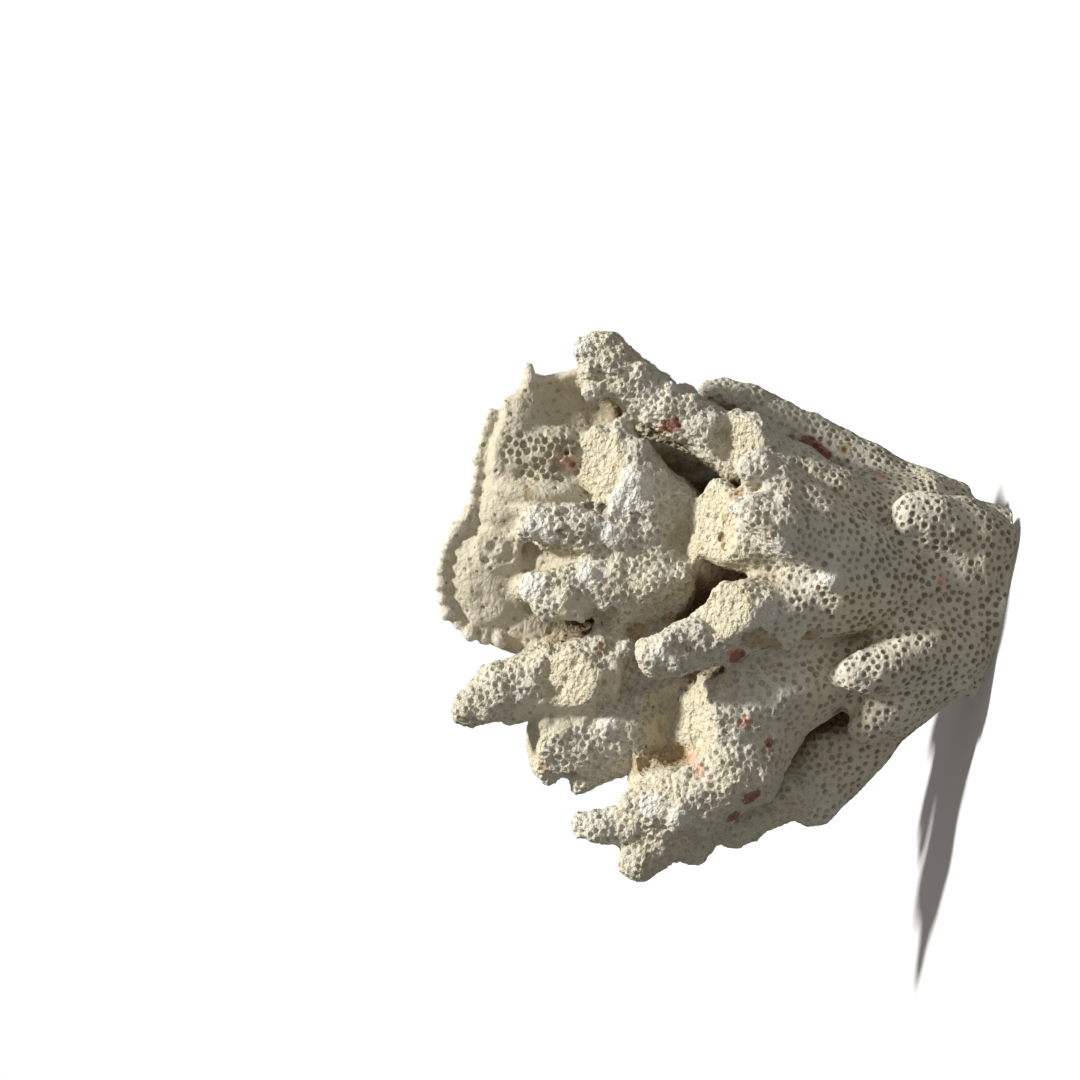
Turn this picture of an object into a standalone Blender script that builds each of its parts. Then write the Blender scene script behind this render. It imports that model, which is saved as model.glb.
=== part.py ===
"""Branching coral: a thick-fingered piece of reef coral, cut flat where it grew from the rock.

It stands on the cut. The pieces are the trunk, the main branches that leave it at the forks, and the smooth
crust that has grown over the ends of the upper fingers. Lengths are in millimetres until they are placed.
"""

import math

import bmesh
import bpy
from mathutils import Matrix, Vector, noise

MM = 0.001  # metres in a millimetre

# Driving dimensions
HEIGHT = 110.5  # of the whole coral above its cut, to the last bead of the crust
LEAN = math.radians(11.4)  # the cut is this far from square to the direction that the fingers are measured in
CUT = 0.9  # how far above the lowest point of the broken foot the cut runs
GAP = 0.4  # left between two pieces, all round a fork
FOOT = Vector((3.0, 0.0, -2.0))  # the middle of the cut, from where the fingers are measured

# Surface
RING_SIDES = 14
STATION = 1.6  # distance between the rings of a finger
LUMP_SIZE = 6.5  # of the swellings along a finger
LUMP_HEIGHT = 0.16  # of a swelling, as a share of the finger's radius
VOXEL = 0.85  # of the grid that joins the fingers of a branch
FILLET_ROUNDS = 5  # smoothing rounds, which fill the crotch between two fingers

CORAL_WHITE = (0.72, 0.70, 0.63)
CRUST_CREAM = (0.66, 0.61, 0.50)


def place(reach, rise, fore):
    """A point of the standing coral, from its reach away from the foot, its rise across the fan and its fore.

    Fore is towards the side that shows the forks best.
    """
    up = reach * math.cos(LEAN) + rise * math.sin(LEAN) - CUT
    across = rise * math.cos(LEAN) - reach * math.sin(LEAN)
    return Vector((across - FOOT.x, -fore - FOOT.y, up))


def spline(points, share):
    """A point of the smooth curve through the points, with its radius as the fourth number."""
    last = len(points) - 1
    span = min(int(share * last), last - 1)
    t = share * last - span
    a, b, c, d = (points[min(max(span + k, 0), last)] for k in (-1, 0, 1, 2))
    return [
        0.5 * (2 * q + (r - p) * t + (2 * p - 5 * q + 4 * r - s) * t * t + (3 * q - p - 3 * r + s) * t**3)
        for p, q, r, s in zip(a, b, c, d)
    ]


def ring(bm, centre, frame, radius):
    """One loop of vertices round a finger, swollen here and there."""
    loop = []
    for side in range(RING_SIDES):
        turn = 2 * math.pi * side / RING_SIDES
        out = frame @ Vector((math.cos(turn), math.sin(turn), 0))
        swell = 1 + LUMP_HEIGHT * noise.noise((centre + out * radius) / LUMP_SIZE)
        loop.append(bm.verts.new(centre + out * radius * swell))
    return loop


def finger(bm, *points, broken=None):
    """A finger along points (reach, rise, fore, radius), root first.

    Its tip is a dome, or a flat broken face that looks along the given (reach, rise, fore) direction.
    """
    length = sum(math.dist(a[:3], b[:3]) for a, b in zip(points, points[1:]))
    steps = max(4, round(length / STATION))
    stations = [spline(points, i / steps) for i in range(steps + 1)]
    centres = [place(*s[:3]) for s in stations]
    radii = [s[3] for s in stations]
    along = (centres[1] - centres[0]).normalized()
    frame = along.to_track_quat("Z", "Y").to_matrix()
    loops = []
    for i, (centre, radius) in enumerate(zip(centres, radii)):
        ahead = (centres[min(i + 1, steps)] - centres[max(i - 1, 0)]).normalized()
        frame = along.rotation_difference(ahead).to_matrix() @ frame
        along = ahead
        loops.append(ring(bm, centre, frame, radius))
    if broken is None:
        for lift in (0.35, 0.7, 0.93):
            tip = centres[-1] + along * radii[-1] * lift
            loops.append(ring(bm, tip, frame, radii[-1] * math.sqrt(1 - lift * lift)))
        end = centres[-1] + along * radii[-1]
    else:
        end = centres[-1]
        face = (place(*broken) - place(0, 0, 0)).normalized()
        for vert in loops[-1]:
            vert.co += along * (face.dot(end - vert.co) / face.dot(along))
    skin(bm, loops, centres[0] - (centres[1] - centres[0]).normalized() * radii[0] * 0.5, end)


def skin(bm, loops, start, end):
    """Faces between the loops, closed to a point at each end."""
    for low, high in zip(loops, loops[1:]):
        for k in range(RING_SIDES):
            n = (k + 1) % RING_SIDES
            bm.faces.new((low[k], low[n], high[n], high[k]))
    first, last = bm.verts.new(start), bm.verts.new(end)
    for k in range(RING_SIDES):
        n = (k + 1) % RING_SIDES
        bm.faces.new((loops[0][n], loops[0][k], first))
        bm.faces.new((loops[-1][k], loops[-1][n], last))


def knob(bm, reach, rise, fore, size, flat=(1, 1, 1)):
    """A rounded lump, which may be flattened along reach, rise or fore."""
    turn = Matrix.Rotation(-LEAN, 4, "Y")
    squash = Matrix.Diagonal((size * flat[1], size * flat[2], size * flat[0], 1))
    spot = Matrix.Translation(place(reach, rise, fore)) @ turn @ squash
    bmesh.ops.create_icosphere(bm, subdivisions=2, radius=1, matrix=spot)


def material(name, colour):
    """The dry, matt surface of a bleached skeleton."""
    made = bpy.data.materials.new(name)
    made.use_nodes = True
    shader = made.node_tree.nodes["Principled BSDF"]
    shader.inputs["Base Color"].default_value = (*colour, 1)
    shader.inputs["Roughness"].default_value = 0.9
    shader.inputs["Metallic"].default_value = 0.0
    return made


def settle(obj):
    """Makes the object's modifiers part of its mesh."""
    graph = bpy.context.evaluated_depsgraph_get()
    mesh = bpy.data.meshes.new_from_object(obj.evaluated_get(graph))
    obj.modifiers.clear()
    obj.data = mesh


def keep_largest(mesh):
    """Deletes the crumbs that a cut leaves beside the main body."""
    bm = bmesh.new()
    bm.from_mesh(mesh)
    bodies, seen = [], set()
    for seed in bm.faces:
        if seed in seen:
            continue
        body, todo = [], [seed]
        seen.add(seed)
        while todo:
            face = todo.pop()
            body.append(face)
            for other in (near for edge in face.edges for near in edge.link_faces):
                if other not in seen:
                    seen.add(other)
                    todo.append(other)
        bodies.append(body)
    largest = max(bodies, key=len)
    crumbs = [face for body in bodies if body is not largest for face in body]
    bmesh.ops.delete(bm, geom=crumbs, context="FACES")
    bm.to_mesh(mesh)
    bm.free()


def grown(obj):
    """A copy of a piece that stands out by the gap, to cut its neighbours with."""
    copy = bpy.data.objects.new(obj.name + "_clearance", obj.data.copy())
    bpy.context.scene.collection.objects.link(copy)
    bm = bmesh.new()
    bm.from_mesh(copy.data)
    bm.normal_update()
    moved = [(vert, vert.co + vert.normal * GAP * MM * min(vert.calc_shell_factor(), 2)) for vert in bm.verts]
    for vert, spot in moved:
        vert.co = spot
    bm.to_mesh(copy.data)
    bm.free()
    return copy


def cut(obj, cutter):
    """Takes the cutter's volume out of the object.

    The facets of a branch can cross in a tight crotch, which the exact solver doesn't take.
    """
    boolean = obj.modifiers.new("Cut", "BOOLEAN")
    boolean.operation = "DIFFERENCE"
    boolean.solver = "MANIFOLD"
    boolean.object = cutter
    settle(obj)


def box_of(obj):
    spots = [vert.co for vert in obj.data.vertices]
    return [(min(s[k] for s in spots), max(s[k] for s in spots)) for k in range(3)]


def meet(a, b):
    """Whether two objects' boxes overlap."""
    return all(low < top and bottom < high for (low, high), (bottom, top) in zip(box_of(a), box_of(b)))


def below_the_cut():
    """The rock side of the cut, as a block to cut with."""
    block = HEIGHT * MM
    mesh = bpy.data.meshes.new("rock_side")
    bm = bmesh.new()
    bmesh.ops.create_cube(bm, size=2 * block, matrix=Matrix.Translation((0, 0, -block)))
    bm.to_mesh(mesh)
    bm.free()
    obj = bpy.data.objects.new("rock_side", mesh)
    bpy.context.scene.collection.objects.link(obj)
    return obj


def grow(name, fingers, faces, surface, voxel=VOXEL, rounds=FILLET_ROUNDS):
    """One piece: its fingers joined, smoothed at the crotches and brought down to about so many faces."""
    bm = bmesh.new()
    fingers(bm)
    bmesh.ops.recalc_face_normals(bm, faces=bm.faces)
    bm.transform(Matrix.Scale(MM, 4))
    mesh = bpy.data.meshes.new(name)
    bm.to_mesh(mesh)
    bm.free()
    obj = bpy.data.objects.new(name, mesh)
    bpy.context.scene.collection.objects.link(obj)
    join = obj.modifiers.new("Join fingers", "REMESH")
    join.mode = "VOXEL"
    join.voxel_size = voxel * MM
    soften = obj.modifiers.new("Fillets", "SMOOTH")
    soften.factor = 0.5
    soften.iterations = rounds
    settle(obj)
    keep_largest(obj.data)
    thin = obj.modifiers.new("Facets", "DECIMATE")
    thin.ratio = faces / (2 * len(obj.data.polygons))
    settle(obj)
    obj.data.materials.clear()
    obj.data.materials.append(surface)
    return obj


def base(bm):
    """The trunk, with the roots of the branches and the short knobs that grow straight from it."""
    finger(bm, (-6, -1, 0, 13), (8, 1, 0, 16), (20, 3, 1, 14.5), (30, 5, 2, 9.5))
    finger(bm, (-6, 9, -3, 7), (6, 11.5, -4, 9), (16, 15.5, -4, 9.6), (27, 17, -2, 9))
    finger(bm, (-5, -9, 0, 8), (8, -9.5, 0, 8.6), (18, -13.5, -2, 9), (26, -18.5, -3, 7.4))
    finger(bm, (-5.5, 14, 1, 3), (-1, 12.4, 1, 3.6), (6, 10, 1, 7))
    finger(bm, (-4, 1, -8, 11), (12, 2, -10, 12), (24, 3, -12, 10.5))
    finger(bm, (3, 10, 8, 8), (11, 13.4, 12, 7), (17, 15.6, 15, 5.8), (19.6, 16.2, 16, 4.8))
    finger(bm, (9, -10, 2, 7.6), (6.4, -14, 1, 5), (5.8, -16, 0, 3.4))
    knob(bm, 1.5, -4.5, 6, 5)
    knob(bm, 9, 5, 9, 9)
    knob(bm, 14, -4, 9, 8.5)


def front_fork(bm):
    """The branch nearest the viewer: a double knob, a broken stump and a long finger with a broken stub."""
    finger(bm, (12, 4, 6, 10), (20, 4.6, 10, 9.6), (27, 4.4, 13, 9.4), (34, 4, 15, 10))
    finger(bm, (27, 5, 13, 8.6), (36, 11, 17, 8.6), (42.5, 18, 18, 7), (47, 23.4, 18.6, 5.2),
           (49, 25.4, 19, 4.2))
    finger(bm, (38, 10, 18, 7), (44.6, 14.6, 23.4, 5.6), (49.6, 17.4, 25.6, 3.8))
    finger(bm, (34, 6, 12, 8.4), (47, 11.8, 13, 7.6), (57.4, 15, 15, 7.2), broken=(0.8, 0.1, 0.6))
    finger(bm, (30, 2.6, 14, 9), (44, -1.4, 17, 7.4), (56, -5.8, 19, 5.6), (65, -9.3, 21, 4.6),
           (69.6, -10.6, 22, 3.7))
    finger(bm, (46, -2.6, 17, 7), (53, -1.5, 21.5, 5.8), (56.4, -1, 24.5, 5), broken=(0.55, 0.12, 0.82))
    finger(bm, (46, -5, 17, 4.6), (43.5, -7.5, 18, 2.8))
    knob(bm, 33.5, 4, 21.5, 4)


def short_branch(bm):
    """Two blunt fingers low on the front of the trunk."""
    finger(bm, (8, -7, 8, 8), (18, -10, 14, 7), (26, -12.8, 18.5, 5), (31, -13.5, 20.5, 3.9))
    finger(bm, (12, -11, 8, 8), (19, -15.5, 10, 7.4), (25, -20.6, 11.5, 5.8), (28, -24.6, 12, 3.6))
    finger(bm, (12, -13, 2, 6), (17, -17.6, 4, 5.5), (22, -23, 6, 4.2))


def top_branch(bm):
    """The long finger at the top of the fan, with a lumpy double tip and a broken stub half way."""
    finger(bm, (20, 10.6, 1, 9.4), (32, 16.6, 4, 8.6), (42, 23, 5, 7.8), (54, 31.2, 4.8, 6.2),
           (66, 38, 4, 4.8), (74, 43.4, 3, 5), (79, 47.6, 3, 5.2), (80.2, 49.2, 3, 4.2))
    finger(bm, (48, 29.5, 4, 6.4), (51, 31.6, 8, 5.2), (53, 32, 10, 4.3), broken=(0.5, -0.1, 0.85))
    knob(bm, 81.8, 49, 4.5, 3.1)
    knob(bm, 77.8, 50.4, 1.5, 3)
    knob(bm, 80.6, 43, 4, 3.2)
    knob(bm, 71.6, 44.8, 4, 2.7)
    knob(bm, 68, 43, 2, 2.8)
    knob(bm, 63.4, 40, -1, 3.4)


def top_back_branch(bm):
    """The slim finger behind the top one."""
    finger(bm, (8, 17, -6, 6.4), (16, 21.6, -8, 5.6), (24, 26, -9, 5.2), (33, 30.4, -10, 5.2),
           (42, 34.4, -10, 5), (48, 38.2, -10, 4.5), (54, 41, -9.5, 3.8), (57, 41.2, -9, 3.4))
    knob(bm, 38, 32.6, -12, 3.4)


def middle_branch(bm):
    """A branch that spreads from a narrow root into a broken stump and two slim fingers."""
    finger(bm, (28, 6, -2, 8), (42, 7, 0, 6), (54, 7.6, 2, 6), (66, 9, 3.5, 8.6))
    finger(bm, (62, 11, 3, 8), (70, 18, 4, 8.8), (77.6, 26.4, 5, 7.9), broken=(0.86, 0.15, 0.4))
    finger(bm, (64, 10, 6, 6.4), (75, 13.6, 8, 4.6), (86, 14.6, 9, 3.7), (93.6, 15, 9, 2.9))
    finger(bm, (64, 6, 5, 7.5), (75, 3, 7, 5.6), (86, 2.4, 8, 4.2), (93.4, 2.8, 8, 3.2))
    finger(bm, (76, 1, 8, 4), (85, -0.2, 9, 3.3), (90.6, -1, 9.5, 2.7))
    finger(bm, (68, 2, 4, 6.5), (74, -1.5, 6, 4), (77.4, -3.2, 7.5, 2.8), broken=(0.7, -0.3, 0.6))
    knob(bm, 70, 15, 8.6, 5)


def crust(bm):
    """The smooth growth over the finger ends: a beaded disc, a folded lobe with a rim, and a web below."""
    knob(bm, 101, 4.6, -3, 11, (1, 1.2, 0.62))
    knob(bm, 95, 15, -4, 11.5, (1, 1.15, 0.5))
    knob(bm, 88, 2, -5, 11, (1.1, 1.1, 0.5))
    finger(bm, (99, 16, 0, 5), (98.4, 24, 0.6, 5), (97, 31, 1, 5), (95.4, 37.4, 0.6, 4.2), (93.4, 41, -1, 3))
    finger(bm, (94.6, 39.6, -1, 3), (89, 42.4, -2, 2.6), (82, 43.4, -2, 3))
    finger(bm, (93.4, 41, -1, 2.2), (93.2, 45, -1, 1.1))
    knob(bm, 87, 34, -4, 11, (1, 1, 0.45))
    knob(bm, 80, 37, -2.6, 6, (1, 0.9, 0.5))
    knob(bm, 90.6, 29.4, 2, 8.2, (1.05, 0.72, 0.55))
    finger(bm, (97.6, 20.5, 2.5, 4), (90.6, 20.5, 4, 4), (84, 20, 4, 3), (80.5, 19.4, 3.5, 1.8))
    knob(bm, 92, -6, -3, 8, (1.3, 0.7, 0.6))
    knob(bm, 100.6, 9.4, 2.8, 4.6, (1, 0.9, 0.35))
    beads(bm)


def beads(bm):
    """The row of small beads along the free edge of the crust."""
    edge = [(100.2, -8.2, -2.4), (106, -6, -2.4), (110, -2, -2.6), (111.4, 4, -2.8), (110.2, 10.6, -2.8),
            (107.2, 16.2, -2.6), (103.6, 21.4, -2.2), (102.6, 28, -1.4), (100.4, 34, -1)]
    count = 26
    for i in range(count):
        reach, rise, fore = spline(edge, i / (count - 1))[:3]
        sway = 1.7 * math.sin(i * 2.4)
        knob(bm, reach, rise, fore + sway, 1.35)


def left_branch(bm):
    """The finger that reaches furthest below the crust, with a broken stub at its shoulder."""
    finger(bm, (30, -2, -5, 8), (46, -4, -5, 7), (62, -7, -3, 7), (76, -11, 1, 7.5), (86, -15, 3, 7),
           (94, -17, 4, 5.8), (101, -19, 5, 4.6), (106.6, -21.6, 5, 3.4))
    finger(bm, (79, -12, 4, 7), (84, -14.6, 8.5, 6), (86, -15.5, 11, 5.4), broken=(0.5, -0.05, 0.85))
    knob(bm, 101.6, -15.2, 4.5, 2.5)
    finger(bm, (75, -10, 6, 3), (77.5, -15, 6.5, 2.6), (79.5, -20, 5, 2.2))


def low_branch(bm):
    """The rough, blunt branch under it."""
    finger(bm, (44, -8, -5, 7), (58, -13, -3, 8), (70, -20, 0, 8.2), (82, -27, 1, 7.8),
           (93.4, -28.4, 1.5, 6.6), broken=(0.95, 0.0, 0.25))
    finger(bm, (46, -12, -5, 7), (58, -22, -3, 7.4), (65, -29, -1, 6.6), (69, -33, 1, 5))
    finger(bm, (80, -31, 1, 6), (83.2, -35.6, 2, 3.2), (84.4, -37.6, 2, 2))
    knob(bm, 90, -32.6, 2, 3.4)
    knob(bm, 74, -27.6, 3, 6)
    knob(bm, 94.4, -24, 1, 3.6)


def broad_branch(bm):
    """The wide branch under the front fork, broken square across."""
    finger(bm, (14, -7, 4, 8), (30, -11.4, 8, 7.4), (43, -17.4, 10, 9.4), (53, -21.4, 11, 9.6),
           (60.4, -24.8, 11.5, 8.6), broken=(0.9, 0.0, 0.32))


def curled_branch(bm):
    """The branch that curls down and forwards, with four short tips."""
    finger(bm, (43, -21, 5, 5), (47.6, -27, 11, 6.6), (53.6, -33, 14, 7.6), (62, -38, 13.4, 7.6),
           (70, -40, 12, 6.6))
    finger(bm, (69, -42, 12, 5.4), (76, -44, 12.5, 3.9), (80.6, -44.2, 13, 3))
    finger(bm, (66, -42, 11.5, 6), (69.6, -47.4, 11.5, 4.8), (71.4, -50, 11.5, 4))
    finger(bm, (60, -40.6, 13, 4.6), (58.4, -45, 13.5, 2))
    finger(bm, (62, -34, 9, 6.4), (70, -35.4, 9, 5.6), (73.4, -36, 9, 4.4), broken=(0.9, 0.1, 0.3))
    finger(bm, (60, -43, 8, 5), (64, -47.6, 7.5, 4), (66, -49.6, 7.5, 2.2))
    finger(bm, (59, -43, 7, 5), (61.6, -48.4, 6.5, 3.4), (61.6, -50.6, 6.5, 1.8))


def low_back_branch(bm):
    """The flattened branch behind the curled one, with two blunt tips."""
    finger(bm, (14, -15, -3, 7.5), (24, -24, -5, 7), (33, -35, -6, 6.2), (36.8, -41.8, -6, 4.2))
    finger(bm, (26, -24, -4, 7), (38, -33, -5, 7.8), (47, -40.6, -5, 6.4), (52.6, -46.4, -4, 3.8))
    finger(bm, (42, -36, -2, 7), (53, -42.5, 0, 5.6), (60, -45, 2, 4.2))
    knob(bm, 36, -34, -5, 7)


def upper_back_branch(bm):
    """On the far side of the fan: a branch that forks into two fingers."""
    finger(bm, (16, 12, -12, 8), (30, 19, -18, 7.6), (46, 27, -22, 6.6), (60, 33, -24, 5.4),
           (70, 37.5, -25, 4.2))
    finger(bm, (44, 26, -21, 6.2), (56, 25, -28, 5), (65, 25, -31.5, 3.8), broken=(0.8, 0.1, -0.55))
    finger(bm, (56, 31.5, -23, 4.6), (63, 37.8, -18, 3.4), (67.5, 41.5, -16, 2.8))


def middle_back_branch(bm):
    """On the far side: the tallest branch, behind the crust."""
    finger(bm, (20, 3, -14, 9.5), (38, 5, -18, 8.8), (56, 8, -20, 7.6), (72, 11, -19, 6.4),
           (86, 14, -17, 5), (93, 15.5, -16, 4))
    finger(bm, (52, 6, -20, 7.2), (66, 1, -26, 5.4), (77, -1, -29, 4), (81, -1.4, -30, 3.2))
    finger(bm, (70, 11, -19, 6), (79, 18.6, -20, 4.6), (86, 23.4, -20, 3.4))
    finger(bm, (36, 6, -22, 6.4), (45, 10, -29, 4.8), (51, 12.6, -32.4, 3.8))


def lower_back_branch(bm):
    """On the far side: a branch that leans down and ends in a blunt tip and a stub."""
    finger(bm, (16, -8, -12, 8.6), (30, -12, -19, 8), (45, -17, -23, 6.8), (58, -21.6, -24, 5.4),
           (68, -25, -24, 4))
    finger(bm, (42, -16, -22, 6.4), (52, -11, -29, 4.8), (60, -8.6, -33, 3.6))
    finger(bm, (46, -18, -22, 6), (54, -27, -21, 4.8), (60, -32.6, -19, 3.6))
    finger(bm, (28, -13, -19, 6.6), (34, -20, -24, 4.8), (38, -25.5, -26.5, 3.4), broken=(0.5, -0.6, -0.6))


def inner_branch(bm):
    """Between the front and the far side: the branch that backs the gaps of the fan."""
    finger(bm, (30, 0, -6, 8.6), (48, -1, -9, 8), (64, -3, -11, 7), (78, -5, -12, 5.6), (88, -7, -12, 4.4))
    finger(bm, (58, -3, -10, 6.4), (68, -12, -14, 5), (76, -18.6, -16, 3.8))
    finger(bm, (34, 8, -6, 7), (50, 17, -9, 6), (64, 25, -10, 5), (72, 29.6, -10, 4))


def make_coral():
    """All the pieces, the nearest first, each cut clear of those before it."""
    white = material("coral_white", CORAL_WHITE)
    cream = material("crust_cream", CRUST_CREAM)
    plan = [
        ("base", base, 620, white),
        ("front_fork", front_fork, 700, white),
        ("middle_branch", middle_branch, 660, white),
        ("top_branch", top_branch, 470, white),
        ("crust", crust, 1040, cream),
        ("left_branch", left_branch, 380, white),
        ("short_branch", short_branch, 230, white),
        ("broad_branch", broad_branch, 210, white),
        ("curled_branch", curled_branch, 460, white),
        ("low_branch", low_branch, 310, white),
        ("top_back_branch", top_back_branch, 200, white),
        ("low_back_branch", low_back_branch, 240, white),
        ("middle_back_branch", middle_back_branch, 350, white),
        ("upper_back_branch", upper_back_branch, 270, white),
        ("lower_back_branch", lower_back_branch, 290, white),
        ("inner_branch", inner_branch, 250, white),
    ]
    rock = below_the_cut()
    cutters = [rock]
    for name, fingers, faces, surface in plan:
        piece = grow(name, fingers, faces, surface)
        clearance = grown(piece)
        for cutter in cutters:
            if meet(piece, cutter):
                cut(piece, cutter)
        keep_largest(piece.data)
        piece.data.shade_smooth()
        piece.data.set_sharp_from_angle(angle=math.radians(40))
        cutters.append(clearance)
    for cutter in cutters:
        bpy.data.objects.remove(cutter)


for leftover in list(bpy.data.objects):
    bpy.data.objects.remove(leftover)
make_coral()
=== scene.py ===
"""A dry branching coral: one porous skin grown over the frame's branches, then parted at the forks.

The skin carries the cups of the fingers, the broken faces, the beads and pores of the crust and the stains,
and the values from which the material paints shade into its hollows and highlights onto its crests.
A place on the coral is given by its reach away from the foot, its rise across the fan and its fore,
which is how far it stands towards the viewer. All three are in millimetres.
"""

import math

import bmesh
import bpy
import numpy as np
from mathutils import Matrix, Vector, kdtree
from mathutils.bvhtree import BVHTree


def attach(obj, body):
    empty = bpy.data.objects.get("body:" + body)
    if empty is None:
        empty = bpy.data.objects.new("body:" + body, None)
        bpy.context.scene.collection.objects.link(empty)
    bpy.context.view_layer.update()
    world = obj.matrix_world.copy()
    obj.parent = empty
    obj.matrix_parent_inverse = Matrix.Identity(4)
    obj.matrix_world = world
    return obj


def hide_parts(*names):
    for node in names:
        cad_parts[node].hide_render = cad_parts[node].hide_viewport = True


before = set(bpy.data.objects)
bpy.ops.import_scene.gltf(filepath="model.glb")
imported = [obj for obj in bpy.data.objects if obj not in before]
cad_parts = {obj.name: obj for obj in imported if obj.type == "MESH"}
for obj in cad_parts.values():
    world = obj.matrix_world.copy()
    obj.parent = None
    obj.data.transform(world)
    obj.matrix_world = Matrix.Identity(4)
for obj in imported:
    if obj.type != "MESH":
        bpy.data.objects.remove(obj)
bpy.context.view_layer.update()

MM = 0.001  # metres in a millimetre

# How reach, rise and fore lie in the frame
LEAN = math.radians(11.4)  # the reach leans this far from upright, across the fan
CUT = 0.9  # the cut at the foot runs this far past the start of the reach
ACROSS = 3.0  # the rise of the frame's origin

# The skin
SEAM = 0.4  # a branch is swollen by this much, so that it grows into its neighbours
DRAFT = 0.62  # grid of the first skin
FINE = 0.37  # grid of the finished skin
FILLET_ROUNDS = 7  # smoothing rounds of the first skin, which round off the crotches
BRIDGED = 0.7  # gaps narrower than twice this are closed
SKIRT = 1.0  # the hidden webs start this deep under the seams
FOOT_DRAWN = 3  # the foot is drawn down this far past the cut, and cut off later
SNAPPED = 7  # what stands further than this off a broken face is left
CALM_ROUNDS = 30  # rounds that average a point over about a millimetre to each side
KNOBBLY = (25, 80)  # the surface starts to be knobbly at the first reach and is fully so at the second
BEAD_FORE = 1.4  # fore of the crust's free edge
BEAD_SEAT = 1.2  # the beads' centres stand this far off that edge

# How shelter is found: rays from each point, their length, their start off the surface, share of faces kept
SHELTER_RAYS, SHELTER_LENGTH, SHELTER_START, SHELTER_FACES = 22, 30, 0.4, 0.07

# Rounds of soft swellings, from coarse to fine
SWELLINGS = {
    "limbs": dict(Size=7 * MM, Height=1.0 * MM, Calm=0.75, Seed=4),
    "lumps": dict(Size=3.2 * MM, Height=0.7 * MM, Calm=0.3, Seed=7),
    "crumbs": dict(Size=1.5 * MM, Height=0.55 * MM, Calm=0.12, Seed=9),
    "grit": dict(Size=1.3 * MM, Height=0.35 * MM, Calm=0.0, Seed=11),
    "wear": dict(Size=0.95 * MM, Height=0.26 * MM, Calm=0.15, Seed=14),
}

# Cups of the fingers: how far apart, how wide and deep they are, and how high their rims
CUP_SPACING = 1.38
CUP_WIDTH = 0.96
CUP_DEPTH = 0.42
CUP_RIM = 0.1

# The three kinds of cups: the fingers', the crust's net and the pinholes of crust and broken faces
CUPS = (
    dict(Where="porous"),
    dict(Where="honeycomb", Spacing=1.4 * MM, Width=1.3 * MM, Depth=0.75 * MM, Rim=0.12 * MM, Seed=5),
    dict(Where="pinholes", Spacing=2.1 * MM, Width=0.6 * MM, Depth=0.4 * MM, Rim=0.04 * MM, Seed=8,
         Unlike=0.5),
)

# The values that the materials read from the surface
KEPT_VALUES = ("cup", "shelter", "broken", "waxy", "pink", "cavity", "worn_and_highlit", "rough", "rosy", "tan")

# The camera looks at this reach and rise from this far away
AIM = (92, 12)
EYE_DISTANCE = 600
PICTURE_WIDTH = 216  # at the coral's middle

# Colours of the dry coral in plain light; some of them are painted shade and painted highlights, as noted
# at each
BLEACHED = (0.8, 0.775, 0.69)
GREYED = (0.5, 0.465, 0.4)
# Painted shade inside the cups, with some dirt there, and in the hollows
CUP_SHADE = (0.26, 0.205, 0.135)
# Painted shade of the deepest sheltered gaps, together with brown staining there
HOLLOW_SHADE_AND_STAIN = (0.17, 0.105, 0.05)
BROKEN_CREAM = (0.84, 0.78, 0.63)
CRUST_CREAM = (0.66, 0.61, 0.49)
CORALLINE = (0.27, 0.07, 0.055)
ROSY = (0.84, 0.54, 0.42)
YELLOWED = (0.74, 0.67, 0.46)
# Painted shade: a warm tint for sheltered places
OLIVE_PAINTED_SHADE = (0.46, 0.39, 0.25)
# The white of worn patches, also used as a painted highlight on crests
WORN_WHITE_AND_HIGHLIGHT = (0.9, 0.89, 0.86)
TAN = (0.42, 0.29, 0.14)
FLOOR_PALE = (0.85, 0.87, 0.93)

# Where fingers are broken off: a point of the face, the way that it looks and its radius
BREAKS = [
    ((59.4, 15, 13.4), (0.72, 0.08, 0.68), 8.6),
    ((56.4, -1, 24.5), (0.55, 0.12, 0.82), 5.8),
    ((53, 32, 10), (0.5, -0.1, 0.85), 5),
    ((80, 31.6, 7.8), (0.52, 0.03, 0.85), 5),
    ((80, 24.4, 7.8), (0.52, 0.03, 0.85), 5),
    ((80, 28, 7.8), (0.52, 0.03, 0.85), 5.4),
    ((77.4, -3.2, 9), (0.7, -0.3, 0.6), 3.4),
    ((86, -15.5, 11), (0.5, -0.05, 0.85), 6.2),
    ((93.4, -28.4, 1.5), (0.95, 0, 0.25), 7),
    ((62.4, -24.8, 11), (0.8, 0, 0.6), 9),
    ((73.4, -36, 9), (0.9, 0.1, 0.3), 4.8),
    ((65, 25, -31.5), (0.8, 0.1, -0.55), 4),
    ((38, -25.5, -26.5), (0.5, -0.6, -0.6), 3.7),
]

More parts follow.
